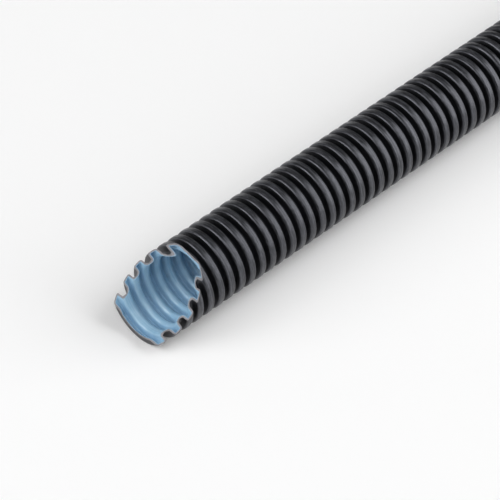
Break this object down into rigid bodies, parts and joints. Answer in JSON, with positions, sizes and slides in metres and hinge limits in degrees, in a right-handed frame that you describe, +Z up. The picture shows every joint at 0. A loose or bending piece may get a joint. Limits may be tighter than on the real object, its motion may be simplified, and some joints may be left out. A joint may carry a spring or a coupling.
{
  "type": "flexible conduit",
  "caption": "Flexible corrugated cable conduit: ringed black plastic tube with a light-blue inner layer, cut at a slant at its near end and square at its far end.",
  "frame": {"origin": "on the floor under the conduit's axis, at the middle of its length", "axes": "+X along the conduit from the slanted end to the square end, +Z up from the floor"},
  "size_m": [1.0018, 0.025, 0.025],
  "materials": {
    "black_wall": "black polypropylene, formed in ring moulds, satin, with faint lines round each ring",
    "blue_layer": "light-blue slippery layer extruded inside the black wall, smooth satin"
  },
  "bodies": {
    "root": {"outer_wall": "black_wall", "inner_layer": "blue_layer"}
  },
  "joints": []
}
